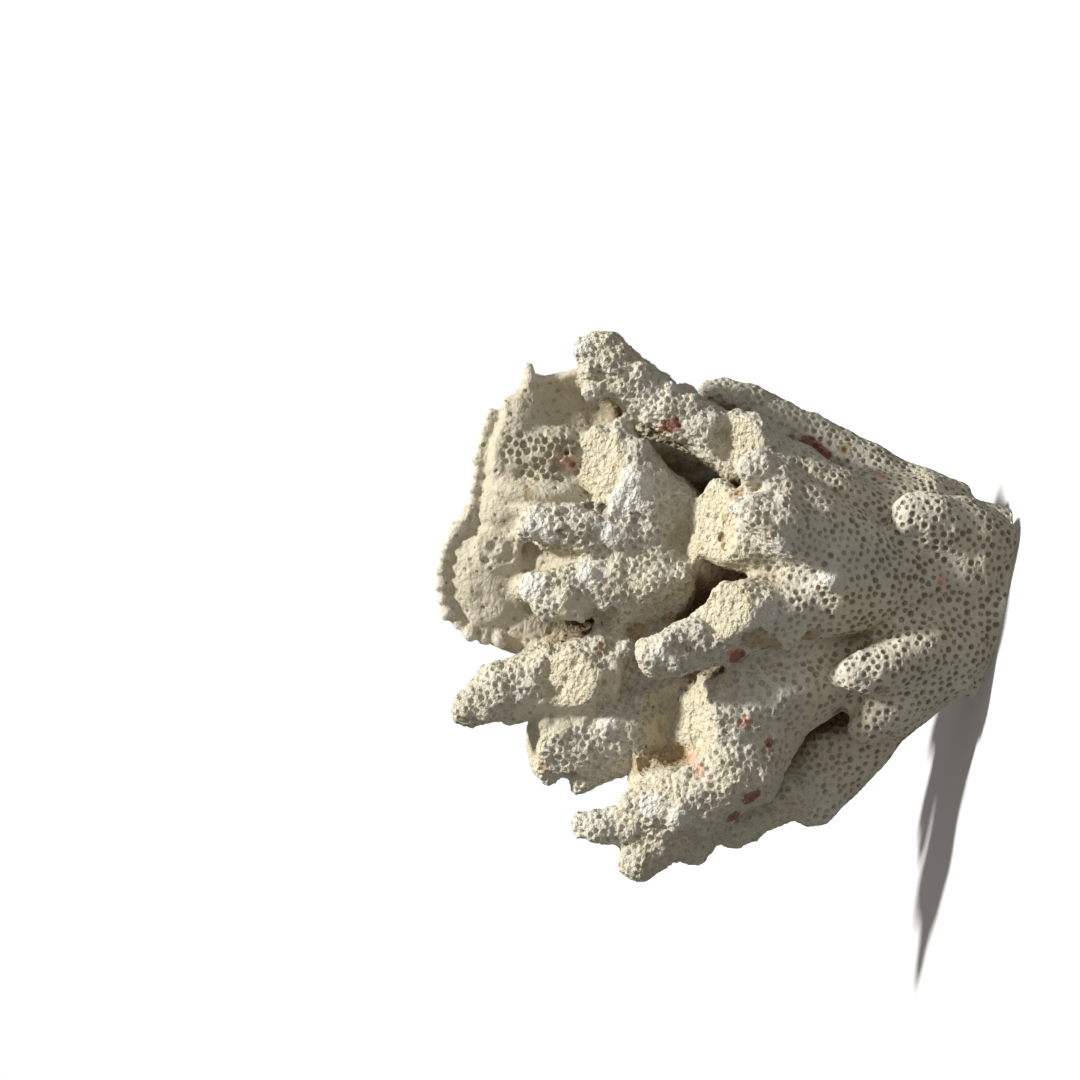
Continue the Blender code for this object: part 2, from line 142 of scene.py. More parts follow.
# Lobes that fill out the branches: reach, rise, fore and radius
FILLS = {
    "broken stump": [(60, 17, 11, 4), (60.6, 12.4, 10.6, 3.8), (57, 21.6, 12, 3), (56.4, 10.6, 14, 3)],
    "pyramid": [
        (80.5, 28, 1.5, 3.8), (81.8, 24.4, 1, 3.4), (78.6, 32.6, 2.4, 2.6), (76.4, 34.6, 4.4, 2),
        (77, 31, 6, 2.8), (77.4, 26.6, 7.6, 3.4), (78.4, 23, 8, 3), (73.4, 28, 8, 4),
        (73.6, 22.6, 10, 4), (81, 29.4, 4.4, 3.2), (81.4, 25.2, 4.4, 3.2), (80.2, 33, 4.6, 2.6),
        (81.6, 22.2, 4.6, 2.2),
    ],
    "upper finger": [(95, 13.6, 4.6, 2.5), (91, 13, 6, 2.8), (86.6, 12.4, 7.4, 3.1), (82, 12, 8.6, 3.4)],
    "lower finger": [
        (94.4, 2.6, 4.6, 2.8), (91, -0.4, 7.4, 2.9), (87, 3.4, 8, 2.9), (82.4, 4.6, 9, 3.2),
        (78.6, -2.4, 8.6, 3.2),
    ],
    "web between them": [(82.4, 8, 6, 2.8), (79, 7.6, 7.6, 3.2), (75.4, 7, 9, 3.2)],
    "side lobe": [(102.6, -14.6, 0.5, 1.9), (99.4, -14.4, 1.5, 2.4), (95.6, -13.4, 2.4, 2.8)],
    "curled tips": [(83.4, -43.8, 11.4, 2.8), (80, -43.6, 12, 3.2), (73, -51, 13.4, 3.6)],
    "honeycomb swelling": [(88.4, 29.6, 1.6, 4.4), (85.4, 27, 0.8, 4), (85.4, 31.4, 0.4, 3.6)],
    "waxy web between the fingers": [(90.4, 8, 1, 3.2), (87, 8, 2.4, 3.4), (84.4, 8, 4, 3)],
    "web under the broad branch": [(67.6, -27, 3, 5), (64, -29, 5, 4.4), (70, -24, 3, 4.4)],
    "wax under the left branch": [(92, -22.6, 2.4, 4), (87, -22.4, 3.4, 4)],
    "front knobs": [(50, 26, 20.8, 3.6), (53.2, 19.2, 18.6, 2.3), (50.4, 18, 21, 2.8)],
    "end of the broad branch": [(61.6, -20.6, 8.6, 2.8), (62, -24.6, 8.2, 3), (60.8, -28.4, 8.2, 2.6)],
    "under the crust": [
        (88, -5.6, -1.4, 2.6), (84.4, -5.4, -2.6, 2.8), (81, -5, -3.6, 2.8), (78, -6, -2, 2.6),
    ],
}

# Knobs on the side that the camera sees: reach, rise, radius and how far they stand out
KNOBS = {
    "top branch": [
        (82.8, 51.4, 2.8, 0.9), (79, 52, 2.6, 0.8), (82.6, 45.6, 2.6, 0.9), (80.8, 41.6, 2.6, 0.9),
        (72.2, 46.4, 2.4, 1.2), (69.4, 44.2, 2, 0.9), (66, 42.6, 2.2, 0.9), (74, 38, 2.2, 0.5),
        (61, 40, 2.4, 0.5),
    ],
    "front fork": [
        (51, 27.4, 2.6, 0.6), (50.4, 23.8, 2.4, 0.7), (46.4, 27, 2.8, 0.5), (51.2, 19.2, 2.6, 0.8),
        (70.6, -11, 2.6, 0.7), (66.8, -8, 2.2, 0.9), (64.4, -13.2, 1.8, 0.8), (60.4, -6.6, 2.2, 0.7),
        (43, -9, 2.4, 0.9), (33.8, 4.4, 3, 1.5), (37, 2, 2, 0.5), (45.4, -4, 2.6, 0.6), (47.4, -1, 2, 0.5),
    ],
    "middle branch": [
        (71.8, 24.4, 2, 0.7), (75.2, 22.4, 2, 0.6), (72.4, 20.6, 2.2, 0.6), (88, 14.8, 1.8, 0.6),
        (78, 13, 2.2, 0.6), (84, 10.8, 1.8, 0.6), (91, 3.4, 1.8, 0.5), (86, 1, 2, 0.7),
        (77, 5.6, 2.2, 0.6), (71, 8, 2, 0.5),
    ],
    "left branch": [
        (108, -22, 2.6, 0.5), (105.6, -18.4, 2, 0.6), (103, -23.4, 2.2, 0.5), (96, -19.6, 2.2, 0.5),
        (91, -13, 2, 0.6), (94, -17, 1.8, 0.6), (79.6, -8.8, 2, 0.8), (84.6, -8.6, 2, 0.6),
    ],
    "short branch": [
        (32.8, -13.4, 2.6, 0.6), (28, -11, 2.2, 0.6), (24, -14.6, 2.4, 0.6), (29.4, -26, 2.4, 0.6),
        (20, -9, 2.6, 0.6), (26.6, -18, 2.2, 0.6),
    ],
    "broad branch": [
        (56, -15.2, 2.2, 0.6), (51.6, -14, 2.2, 0.6), (61.4, -16.4, 2, 0.7), (43, -16, 2.4, 0.4),
    ],
    "curled branch": [
        (64, -42, 2.6, 0.8), (70, -44, 2.6, 0.8), (75, -40.6, 2.4, 0.8), (59.4, -46.4, 2.6, 0.9),
        (49.4, -30, 2.8, 0.6), (46.4, -35, 2.4, 0.6), (54.4, -38, 2.4, 0.6), (67, -50, 2, 0.6),
        (61.4, -38.4, 2, 0.6), (72.8, -54, 2.6, 0.5),
    ],
    "low branch": [
        (92, -30, 2.4, 0.7), (86, -34, 2.4, 0.7), (79, -25.6, 2.4, 0.9), (75.4, -30, 2.2, 0.7),
        (94, -25.6, 2, 0.6), (83, -37.6, 2, 0.6), (88.6, -27.6, 2, 0.6),
    ],
    "foot": [
        (19.6, 16, 3, 0.5), (6, -16.6, 2.8, 0.7), (12, -6, 3, 0.6), (3, 8, 3, 0.5), (14.6, 2, 2.6, 0.4),
        (9, 14, 2.6, 0.4),
    ],
}

# Ridges on the side that the camera sees: radius, how far they stand out, and points of reach and rise
RIDGES = {
    "under the front knob": (1.6, 2, [(52.2, 18.6), (47.6, 15.2), (43, 11.4), (40.4, 9.2)]),
    "pyramid's edge": (1.3, 0.5, [(76.2, 35.8), (76.4, 29), (78.8, 22.4), (81.4, 20.4)]),
    "crest of the broad branch": (1.4, 0.5, [(62.6, -15.8), (60.4, -19), (59.6, -24), (57.8, -30.6)]),
    "smooth lip": (1.8, 1.7, [(74.4, -9.4), (76.8, -12.6), (77.6, -17), (77.4, -20)]),
    "upper crust rim": (1.1, 0.9, [
        (98.8, 37), (98.4, 41), (95, 43.4), (92.4, 43.6), (88.4, 44.6), (84.4, 45.4),
    ]),
    "crust lip": (2, 1.2, [(99.8, 22.4), (95, 21.4), (90, 21), (85, 21.6)]),
    "crust's lower lip": (1.3, 0.9, [(97, 18.2), (91, 17.8), (85.6, 18.4), (82, 19.2)]),
    "crust's left edge": (1.8, 0.7, [(98.8, 36), (100.4, 30.6), (100.8, 26)]),
    "scar on the crust": (0.85, 0.6, [
        (104, 13), (101.6, 14), (98.6, 13.4), (96.2, 11.2), (95.8, 8.6), (98.6, 7), (101, 6.4),
        (103.4, 6.6), (104.6, 10), (104, 13),
    ]),
    "crust's fold": (1.2, 0.6, [(87.6, -2.4), (84, -3.4), (81, -5), (79.4, -7.4)]),
}

# Hollows on the side that the camera sees: reach, rise, radius and depth
DENTS = {
    "curled branch's hollow": [
        (67.4, -32, 4, 5), (70.6, -33, 3.6, 4), (64, -31.6, 3.4, 3.4), (60, -29.4, 2.6, 1.6),
    ],
    "between the front knobs": [(51.6, 22.2, 1.6, 2.4), (48.6, 21.6, 1.8, 2.2), (45.4, 21, 2, 1.2)],
    "under the front ridge": [(49, 13.2, 3, 1.6), (45.4, 10.6, 3, 1.6), (41.4, 7.4, 2.4, 1)],
    "crust's bowl": [(84.6, 39.6, 4.6, 2), (90, 39.8, 3.6, 1.6), (94, 40.4, 2.2, 0.8), (80, 37.4, 3, 1.4)],
    "middle branch's fold": [
        (72, 15.4, 2.4, 1.4), (68, 14.4, 3, 1.6), (63.6, 13, 3, 1.2), (76, 16.8, 2, 1),
    ],
    "top branch's pits": [(79.6, 45.2, 1.7, 1.4), (77.6, 43.8, 1.3, 0.9), (80.8, 43.8, 1.1, 0.9)],
    "holes in the broken faces": [
        (56.2, 35.2, 0.9, 1.8), (55.2, 33, 1, 2), (54.2, 31.4, 0.7, 1.6), (55.4, 12.6, 1.1, 2.2),
        (54.8, 10.8, 0.9, 1.8), (56.4, 16.2, 0.9, 1.6), (57.6, -1, 0.9, 1.2), (86.4, -16, 0.8, 1.4),
        (84.8, -12.8, 0.9, 1.5), (87.6, -18, 0.8, 1.2), (53, -0.6, 0.7, 1.2), (61.4, -26, 0.8, 1.2),
    ],
    "hole under the pyramid": [(82, 18.6, 1.4, 4), (79.4, 18.4, 1.5, 4)],
    "low branch's slit": [(81, -23.8, 1, 1), (79.4, -23.9, 1, 1), (77.6, -19.8, 1.4, 1.2)],
    "scar's pits": [(101.4, 10.6, 1.3, 1), (98.4, 8.6, 1.1, 0.9), (97.6, 11, 0.9, 1), (102.6, 8, 0.8, 1)],
    "crust's holes": [
        (86, 40, 0.6, 1.6), (86.8, 29.6, 0.8, 1.8), (96, 25, 0.8, 1.8), (100.4, 24, 0.6, 1.2),
    ],
}

# Beads along the crust's free edge: reach and rise
BEAD_EDGE = [
    (98.8, 36.4), (101.2, 33.4), (102.2, 29.6), (101.6, 26.4), (102.2, 23.6), (104.4, 20.2), (106, 17),
    (108.4, 14.2), (110.4, 11.2), (111.6, 8), (112.2, 4.6), (112, 1.4), (111, -2), (109, -5),
    (106, -6.8), (102.8, -8), (100, -8),
]

# Lumps of the small spike on the crust: reach, rise, fore and radius
SPIKE = [(94, 44, 1.6, 1.4), (94.1, 45.4, 1.4, 1.2), (94.2, 46.6, 1.2, 1)]

# Stains of red and of rosy coralline growth that the camera sees: reach, rise and radius
RED_STAINS = [
    (65.2, 35, 1.8), (38.6, 31.4, 1.9), (37, 30.2, 2), (35.4, 29, 1.8), (52.4, -11.4, 2), (62.4, -9.8, 0.8),
    (50.2, -39.6, 1.8), (48.8, -39, 1.4), (53.4, -43.6, 1.8), (46.2, -28.6, 1.1), (66.4, 34.6, 1.4),
]
ROSY_STAINS = [
    (86, 27, 2), (87.6, 27.6, 1.6), (61.6, -32, 2.2), (60.4, -34, 1.6), (51, -24.4, 1.6), (24, 25, 1.8),
    (11.6, 3.8, 1.4), (67.2, 34.4, 1.8), (53.6, -10.6, 1.6),
]

# Tan and brown stains on the front, mostly in its hollows, where they also paint the hollows' shade: reach,
# rise and radius
TAN_STAINS_AND_HOLLOW_SHADE = [
    (67.6, -32, 4), (71.6, -32.6, 3.2), (63.4, -31, 2.8), (53, 21.4, 2.2), (55, 16.4, 1),
    (55.4, 12.4, 1.2), (87.8, 13.6, 1), (49, -7.6, 3), (46, -9, 2.6), (51.8, -12, 2), (51, -24.4, 1.8),
    (61, -15.4, 1.8), (46.4, -30, 1.4), (86.6, 29.6, 1), (79.6, -9.4, 1.6), (73, -6, 2.4),
    (66, -3.6, 2), (89.4, -8, 1.4), (61.6, 26, 2.6), (65.6, 29, 2.4), (94.4, 21.4, 1.4), (37.6, -7, 2),
    (24, -18, 1.6), (31, 30.4, 1.6), (86, -35, 1.8), (79, -37, 1.6), (91.4, -33.4, 1.4),
]

# Smooth waxy webs on the front, without cups: reach, rise and radius
WAXY_WEBS = [
    (93, -22.8, 4), (88.6, -23, 4), (84, -22, 3), (89, 8, 3.6), (84.6, -2.8, 3.4), (97.4, -9.6, 2.6),
    (77, -14.6, 2.4), (77.2, -18.4, 2.2), (67.6, -26.4, 3.6), (65, -28.4, 3),
]

HONEYCOMB = [(93, 28.8, 4.8), (88, 28.6, 4.8), (84, 28.6, 4), (96, 30, 3.6)]  # the crust's net of open cups

# Stains elsewhere: reach, rise, fore and radius
OTHER_STAINS = [
    (20, -22, 4, 1.8), (30, 14, -24, 2.6), (48, -20, -28, 2.4), (60, 8, -26, 2), (22, -16, -22, 2.2),
    (72, 30, -28, 2),
]

# Patches on the front that are worn, where the cups are rubbed away, and whitened, partly as a painted
# highlight: reach, rise and radius
WORN_AND_HIGHLIT = [
    (33.4, 4.4, 2.8), (73, 23, 4.4), (76, 19.6, 3), (47, -2.6, 3), (50, -4.6, 2), (92, 14, 3),
    (94, 3, 3.4), (82, 6, 3.4), (78, 13.6, 3), (77.6, -1.4, 3), (43, 10.6, 1.8), (66, 43.6, 1.6),
    (68, -11, 2), (78, -24, 2.4), (84, 52, 3), (64, -44, 2.6), (70, -41, 2.6),
]


def laid(reach, rise, fore):
    """The frame's x, y and z of a place on the coral, in millimetres."""
    up = reach * math.cos(LEAN) + rise * math.sin(LEAN) - CUT
    across = rise * math.cos(LEAN) - reach * math.sin(LEAN) - ACROSS
    return across, -fore, up


def place(reach, rise, fore):
    """A point of the coral in the frame, in metres."""
    return Vector(laid(reach, rise, fore)) * MM


def read_places(spots):
    """The reach, rise and fore, in millimetres, of many points of the frame."""
    across = spots[:, 0] / MM + ACROSS
    up = spots[:, 2] / MM + CUT
    reach = up * math.cos(LEAN) - across * math.sin(LEAN)
    rise = up * math.sin(LEAN) + across * math.cos(LEAN)
    return np.stack([reach, rise, -spots[:, 1] / MM], axis=1)


def in_view(tree, reach, rise):
    """The point of a surface that the camera sees there, and the way that it faces, or None."""
    eye = place(*AIM, EYE_DISTANCE)
    spot, normal, *_ = tree.ray_cast(eye, (place(reach, rise, 0) - eye).normalized())
    return (spot, normal) if spot else None


def step(low, high, values):
    """0 below low, 1 above high and a smooth slope between them."""
    t = np.clip((values - low) / (high - low), 0, 1)
    return t * t * (3 - 2 * t)


def linked(name, data):
    """A new object in the scene that holds a mesh, a lamp or a camera."""
    obj = bpy.data.objects.new(name, data)
    bpy.context.scene.collection.objects.link(obj)
    return obj


def linked_bmesh(name, bm):
    """A new object that holds the bmesh's shape. The bmesh is freed."""
    mesh = bpy.data.meshes.new(name)
    bm.to_mesh(mesh)
    bm.free()
    return linked(name, mesh)


def surface_tree(mesh):
    """The mesh's surface, for finding points of it."""
    bm = bmesh.new()
    bm.from_mesh(mesh)
    tree = BVHTree.FromBMesh(bm)
    bm.free()
    return tree


def settle(obj):
    """Makes the object's modifiers part of its mesh."""
    graph = bpy.context.evaluated_depsgraph_get()
    shape = obj.evaluated_get(graph)
    mesh = bpy.data.meshes.new_from_object(shape, preserve_all_data_layers=True, depsgraph=graph)
    obj.modifiers.clear()
    obj.data = mesh


def remesh(obj, grid, rounds):
    """Grows one closed skin round the object's shapes, smoothed a number of rounds."""
    skin = obj.modifiers.new("Skin", "REMESH")
    skin.mode = "VOXEL"
    skin.voxel_size = grid * MM
    smooth = obj.modifiers.new("Smooth", "SMOOTH")
    smooth.factor = 0.5
    smooth.iterations = rounds
    settle(obj)


def rows_of(source, name, kind, width):
    """What the source's items hold under a name, in rows of this many numbers."""
    values = np.empty(len(source) * width, kind)
    source.foreach_get(name, values)
    return values.reshape(-1, width)


def spots_of(mesh):
    """The mesh's vertex positions, one row each."""
    return rows_of(mesh.vertices, "co", np.float32, 3)


def normals_of(mesh):
    """The mesh's vertex normals, one row each."""
    return rows_of(mesh.vertex_normals, "vector", np.float32, 3)


def edges_of(mesh):
    """The mesh's edges, two vertex numbers each."""
    return rows_of(mesh.edges, "vertices", np.int32, 2)


def put_spots(mesh, spots):
    """Moves the mesh's vertices to these positions."""
    mesh.vertices.foreach_set("co", spots.astype(np.float32).ravel())


def store(mesh, name, values):
    """Keeps one number for each vertex under a name."""
    layer = mesh.attributes.get(name) or mesh.attributes.new(name, "FLOAT", "POINT")
    layer.data.foreach_set("value", values.astype(np.float32))


def blurred(values, edges, rounds):
    """Vertex values averaged with their neighbours, a number of rounds."""
    count = len(values)
    near = np.bincount(edges.ravel(), minlength=count)
    for _ in range(rounds):
        total = np.bincount(edges[:, 0], values[edges[:, 1]], count)
        total += np.bincount(edges[:, 1], values[edges[:, 0]], count)
        values = 0.5 * values + 0.5 * total / np.maximum(near, 1)
    return values


def node(tree, kind, feed=None, **settings):
    """A new node with its settings, whose inputs are fed by sockets or plain values."""
    made = tree.nodes.new(kind)
    for key, value in settings.items():
        setattr(made, key, value)
    for key, value in (feed or {}).items():
        if isinstance(value, bpy.types.NodeSocket):
            tree.links.new(value, made.inputs[key])
        else:
            made.inputs[key].default_value = value
    return made


def sum_of(tree, operation, first, second=0.0, third=0.0):
    """The result of a Math node."""
    return node(tree, "ShaderNodeMath", {0: first, 1: second, 2: third}, operation=operation).outputs[0]


def slope(tree, value, low, high, start=0.0, end=1.0):
    """A smooth slope from start to end while the value goes from low to high."""
    feed = {"Value": value, "From Min": low, "From Max": high, "To Min": start, "To Max": end}
    return node(tree, "ShaderNodeMapRange", feed, interpolation_type="SMOOTHSTEP").outputs[0]


def times(tree, first, second):
    """The product of two values."""
    return sum_of(tree, "MULTIPLY", first, second)


def new_tree(name, kind, inputs, outputs):
    """A node tree with named inputs (name, socket, default) and outputs, and its two end nodes."""
    tree = bpy.data.node_groups.new(name, kind)
    for title, socket, value in inputs:
        made = tree.interface.new_socket(title, in_out="INPUT", socket_type="NodeSocket" + socket)
        if value is not None:
            made.default_value = value
    for title, socket in outputs:
        tree.interface.new_socket(title, in_out="OUTPUT", socket_type="NodeSocket" + socket)
    return tree, tree.nodes.new("NodeGroupInput"), tree.nodes.new("NodeGroupOutput")


def growing_tree(name, *inputs):
    """A Geometry Nodes tree with these inputs between the geometry that it takes and its finish."""
    every = [("Geometry", "Geometry", None), *inputs, ("Finish", "Material", None)]
    return new_tree(name, "GeometryNodeTree", every, [("Geometry", "Geometry")])


def grown_by(obj, tree, **inputs):
    """Runs a Geometry Nodes tree on the object, with inputs set by name, and keeps a plain mesh of it."""
    modifier = obj.modifiers.new(tree.name, "NODES")
    modifier.node_group = tree
    for item in tree.interface.items_tree:
        if item.in_out == "INPUT" and item.name in inputs:
            modifier[item.identifier] = inputs[item.name]
    settle(obj)


def named(tree, name):
    """The values that the surface keeps under a name."""
    return node(tree, "GeometryNodeInputNamedAttribute", {"Name": name}, data_type="FLOAT").outputs[0]


def moved_out(tree, surface, height):
    """The surface with each point moved along its normal."""
    normal = tree.nodes.new("GeometryNodeInputNormal").outputs[0]
    offset = node(tree, "ShaderNodeVectorMath", {0: normal, "Scale": height}, operation="SCALE").outputs[0]
    return node(tree, "GeometryNodeSetPosition", {"Geometry": surface, "Offset": offset}).outputs[0]


def close_tree(tree, start, end, shape):
    """Ends a tree: instances are made real and the finish is set."""
    real = node(tree, "GeometryNodeRealizeInstances", {"Geometry": shape}).outputs[0]
    feed = {"Geometry": real, "Material": start.outputs["Finish"]}
    tree.links.new(node(tree, "GeometryNodeSetMaterial", feed).outputs[0], end.inputs[0])


def scattered(tree, start, crowd, share):
    """Points spread over the tree's surface, its spacing apart, and fewer where the share is below 1."""
    given = start.outputs
    feed = {"Mesh": given["Geometry"], "Distance Min": given["Spacing"], "Density Max": crowd,
            "Density Factor": share, "Seed": given["Seed"]}
    return node(tree, "GeometryNodeDistributePointsOnFaces", feed, distribute_method="POISSON")


def own_size(tree, start):
    """A size drawn for each point between the tree's smallest and largest."""
    feed = {2: start.outputs["Smallest"], 3: start.outputs["Largest"], "Seed": start.outputs["Seed"]}
    return node(tree, "FunctionNodeRandomValue", feed, data_type="FLOAT").outputs[1]


def balls_on(tree, spots, size):
    """A ball of the given size on each point."""
    ball = node(tree, "GeometryNodeMeshIcoSphere", {"Radius": 1.0, "Subdivisions": 3}).outputs[0]
    feed = {"Points": spots, "Instance": ball, "Scale": size}
    return node(tree, "GeometryNodeInstanceOnPoints", feed).outputs[0]


def swelling_tree():
    """Soft swellings of a surface, of a given size and height, strongest where "rough" is 1."""
    tree, start, end = growing_tree("swellings", ("Size", "Float", 0.005), ("Height", "Float", 0.0005),
                                    ("Calm", "Float", 0.5), ("Seed", "Int", 1))
    given = start.outputs
    feed = {"W": given["Seed"], "Scale": sum_of(tree, "DIVIDE", 1.0, given["Size"]), "Detail": 1.0}
    bumps = node(tree, "ShaderNodeTexNoise", feed, noise_dimensions="4D").outputs[0]
    signed = times(tree, sum_of(tree, "SUBTRACT", bumps, 0.5), 2.0)
    share = slope(tree, named(tree, "rough"), 0.0, 1.0, given["Calm"], 1.0)
    height = times(tree, times(tree, signed, given["Height"]), share)
    close_tree(tree, start, end, moved_out(tree, given["Geometry"], height))
    return tree


def swell(obj, kind):
    """Gives the object's surface one round of soft swellings."""
    grown_by(obj, bpy.data.node_groups.get("swellings") or swelling_tree(), **SWELLINGS[kind])


def cup_tree():
    """Cups over a surface: evenly scattered centres, with a pit at each and a raised rim round it.

    They grow where the named values are above 0. How far a point is from a cup's centre, in cup radii, is
    kept as "cup".
    """
    tree, start, end = growing_tree(
        "cups", ("Where", "String", "porous"), ("Spacing", "Float", CUP_SPACING * MM),
        ("Width", "Float", CUP_WIDTH * MM), ("Depth", "Float", CUP_DEPTH * MM),
        ("Rim", "Float", CUP_RIM * MM), ("Unlike", "Float", 0.3), ("Seed", "Int", 3),
    )
    given = start.outputs
    where, rough = named(tree, given["Where"]), named(tree, "rough")
    crowd = sum_of(tree, "DIVIDE", 5.0, sum_of(tree, "POWER", given["Spacing"], 2.0))
    centres = scattered(tree, start, crowd, slope(tree, where, 0.15, 0.5)).outputs["Points"]
    near = node(tree, "GeometryNodeProximity", {0: centres}, target_element="POINTS")
    nearest = node(tree, "GeometryNodeSampleNearest", {"Geometry": centres}, domain="POINT").outputs[0]
    feed = {2: sum_of(tree, "SUBTRACT", 1.0, given["Unlike"]), 3: sum_of(tree, "ADD", 1.0, given["Unlike"]),
            "ID": nearest, "Seed": given["Seed"]}
    unlike = node(tree, "FunctionNodeRandomValue", feed, data_type="FLOAT").outputs[1]
    radius = times(tree, times(tree, given["Width"], 0.5), unlike)
    radius = times(tree, radius, sum_of(tree, "MULTIPLY_ADD", rough, 0.12, 1.0))
    ratio = sum_of(tree, "DIVIDE", near.outputs["Distance"], radius)
    strength = slope(tree, where, 0.1, 0.8)
    pit = times(tree, slope(tree, ratio, 0.45, 1.12, 1.0, 0.0), strength)
    rim = times(tree, slope(tree, ratio, 0.85, 1.2), slope(tree, ratio, 1.25, 1.75, 1.0, 0.0))
    raised = times(tree, times(tree, rim, strength), given["Rim"])
    height = sum_of(tree, "SUBTRACT", raised, times(tree, pit, given["Depth"]))
    height = times(tree, height, sum_of(tree, "MULTIPLY_ADD", rough, 0.3, 1.0))
    away = sum_of(tree, "ADD", ratio, sum_of(tree, "SUBTRACT", 1.0, strength))
    feed = {"Geometry": moved_out(tree, given["Geometry"], height), "Name": "cup",
            "Value": sum_of(tree, "MINIMUM", named(tree, "cup"), away)}
    kept = node(tree, "GeometryNodeStoreNamedAttribute", feed, data_type="FLOAT", domain="POINT").outputs[0]
    close_tree(tree, start, end, kept)
    return tree


def knob_tree():
    """Knobs scattered over a surface where "rough" is near 1, each a lump of its own size."""
    tree, start, end = growing_tree(
        "scattered knobs", ("Spacing", "Float", 0.005), ("Smallest", "Float", 0.0014),
        ("Largest", "Float", 0.0024), ("Seed", "Int", 2),
    )
    spread = scattered(tree, start, 1e5, slope(tree, named(tree, "rough"), 0.15, 0.9))
    size = own_size(tree, start)
    feed = {0: spread.outputs["Normal"], "Scale": times(tree, size, -0.7)}
    sunk = node(tree, "ShaderNodeVectorMath", feed, operation="SCALE").outputs[0]
    feed = {"Geometry": spread.outputs["Points"], "Offset": sunk}
    spots = node(tree, "GeometryNodeSetPosition", feed).outputs[0]
    both = tree.nodes.new("GeometryNodeJoinGeometry")
    tree.links.new(balls_on(tree, spots, size), both.inputs[0])
    tree.links.new(start.outputs["Geometry"], both.inputs[0])
    close_tree(tree, start, end, both.outputs[0])
    return tree


def bead_tree():
    """A string of beads along an edge curve, each of its own size."""
    tree, start, end = growing_tree(
        "string of beads", ("Spacing", "Float", 0.0029), ("Smallest", "Float", 0.0012),
        ("Largest", "Float", 0.0017), ("Seed", "Int", 6),
    )
    edge = node(tree, "GeometryNodeMeshToCurve", {"Mesh": start.outputs["Geometry"]}).outputs[0]
    feed = {"Curve": edge, "Length": start.outputs["Spacing"]}
    spots = node(tree, "GeometryNodeResampleCurve", feed, mode="LENGTH").outputs[0]
    close_tree(tree, start, end, balls_on(tree, spots, own_size(tree, start)))
    return tree


def branch_skins():
    """All the frame's branches in one mesh, swollen over the seams, the foot drawn down past the cut."""
    bm = bmesh.new()
    for name in sorted(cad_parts):
        skin = bmesh.new()
        skin.from_mesh(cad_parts[name].data)
        bmesh.ops.remove_doubles(skin, verts=skin.verts, dist=1e-6)
        skin.normal_update()
        for vert in skin.verts:
            if name == "base" and vert.co.z < 0.1 * MM:
                vert.co.z -= FOOT_DRAWN * MM
        for vert, normal in [(vert, vert.normal.copy()) for vert in skin.verts]:
            vert.co += normal * SEAM * MM
        mesh = bpy.data.meshes.new(name + "_swollen")
        skin.to_mesh(mesh)
        skin.free()
        bm.from_mesh(mesh)
        bpy.data.meshes.remove(mesh)
    return bm


def lump(bm, spot, radius):
    """A round lump fused to the skin by the next remesh."""
    bmesh.ops.create_icosphere(bm, subdivisions=3, radius=radius * MM, matrix=Matrix.Translation(spot))


def seated(bm, tree, reach, rise, radius, proud):
    """A lump sunk into the surface in view, of which only a cap stands out."""
    seat = in_view(tree, reach, rise)
    if seat:
        lump(bm, seat[0] + seat[1] * (proud - radius) * MM, radius)


def add_details(obj):
    """Seats the knobs, ridges, spike and beads on the first skin."""
    tree = surface_tree(obj.data)
    bm = bmesh.new()
    for knobs in KNOBS.values():
        for knob in knobs:
            seated(bm, tree, *knob)
    for radius, proud, points in RIDGES.values():
        for start, end in zip(points, points[1:]):
            count = max(2, round(math.dist(start, end) / (0.55 * radius)))
            for i in range(count):
                share = i / count
                seated(bm, tree, *(a + (b - a) * share for a, b in zip(start, end)), radius, proud)
    for *spot, radius in SPIKE:
        lump(bm, place(*spot), radius)
    merge_into(obj, linked_bmesh("details", bm))
    edge = []
    for reach, rise in BEAD_EDGE:
        rim, facing, *_ = tree.find_nearest(place(reach, rise, BEAD_FORE))
        edge.append(rim + facing * BEAD_SEAT * MM)
    line = bpy.data.meshes.new("bead_edge")
    line.from_pydata([tuple(spot) for spot in edge], [(i, i + 1) for i in range(len(edge) - 1)], [])
    beads = linked("beads", line)
    grown_by(beads, bead_tree())
    merge_into(obj, beads)


def merge_into(obj, other):
    """Adds the other object's mesh to the object's and removes the other object."""
    bm = bmesh.new()
    bm.from_mesh(obj.data)
    bm.from_mesh(other.data)
    bm.to_mesh(obj.data)
    bm.free()
    bpy.data.objects.remove(other)


def dent(obj):
    """Sinks the hollows into the first skin."""
    mesh = obj.data
    tree = surface_tree(mesh)
    spots, normals = spots_of(mesh).astype(float), normals_of(mesh)
    for dents in DENTS.values():
        for reach, rise, radius, depth in dents:
            seat = in_view(tree, reach, rise)
            if seat:
                apart = np.linalg.norm(spots - np.array(seat[0]), axis=1) / MM
                share = step(radius * 1.3, radius * 0.3, apart)
                share *= step(-0.2, 0.5, normals @ np.array(seat[1]))
                spots[:, 1] += share * depth * MM
    put_spots(mesh, spots)
    mesh.update()


def bridge(obj):
    """Closes the narrow gaps: the skin is grown a little, made one again and drawn back."""
    for way in (1, -1):
        mesh = obj.data
        put_spots(mesh, spots_of(mesh) + normals_of(mesh) * way * BRIDGED * MM)
        mesh.update()
        if way > 0:
            remesh(obj, DRAFT, 1)
            outer_skin_only(obj)


def about_break(places, centre, way):
    """A broken face's unit way, and how far each place is from its centre, above it and beside it."""
    way = np.array(way) / np.linalg.norm(way)
    apart = places - np.array(centre)
    above = apart @ way
    return way, apart, above, np.linalg.norm(apart - above[:, None] * way, axis=1)


